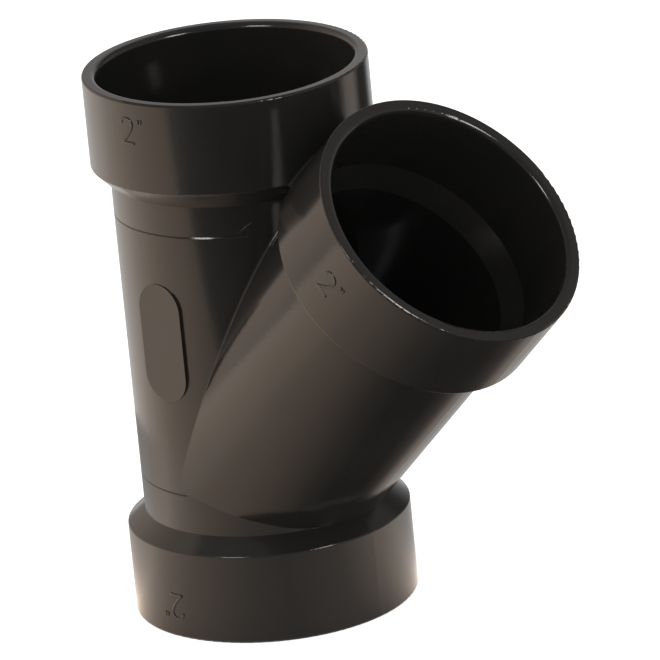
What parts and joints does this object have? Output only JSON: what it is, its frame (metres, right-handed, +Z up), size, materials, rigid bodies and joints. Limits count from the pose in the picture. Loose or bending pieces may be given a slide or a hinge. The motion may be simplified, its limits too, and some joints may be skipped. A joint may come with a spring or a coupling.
{
  "type": "pipe wye fitting",
  "caption": "Moulded plastic pipe wye: a straight run with a hub socket at each end, and a same-size branch at 45 degrees with its own hub socket, for solvent-cemented drain pipe.",
  "frame": {"origin": "centre of the lower hub's end face, which the part stands on", "axes": "+Z up the run from the lower hub to the upper hub; the branch leaves in the XZ plane, 45 degrees from +Z towards +X; the flat pad is on the -Y side"},
  "size_m": [0.1257, 0.0674, 0.133],
  "materials": {
    "abs": "black injection-moulded ABS, semi-gloss"
  },
  "bodies": {
    "root": {"wye_body": "abs"}
  },
  "joints": []
}
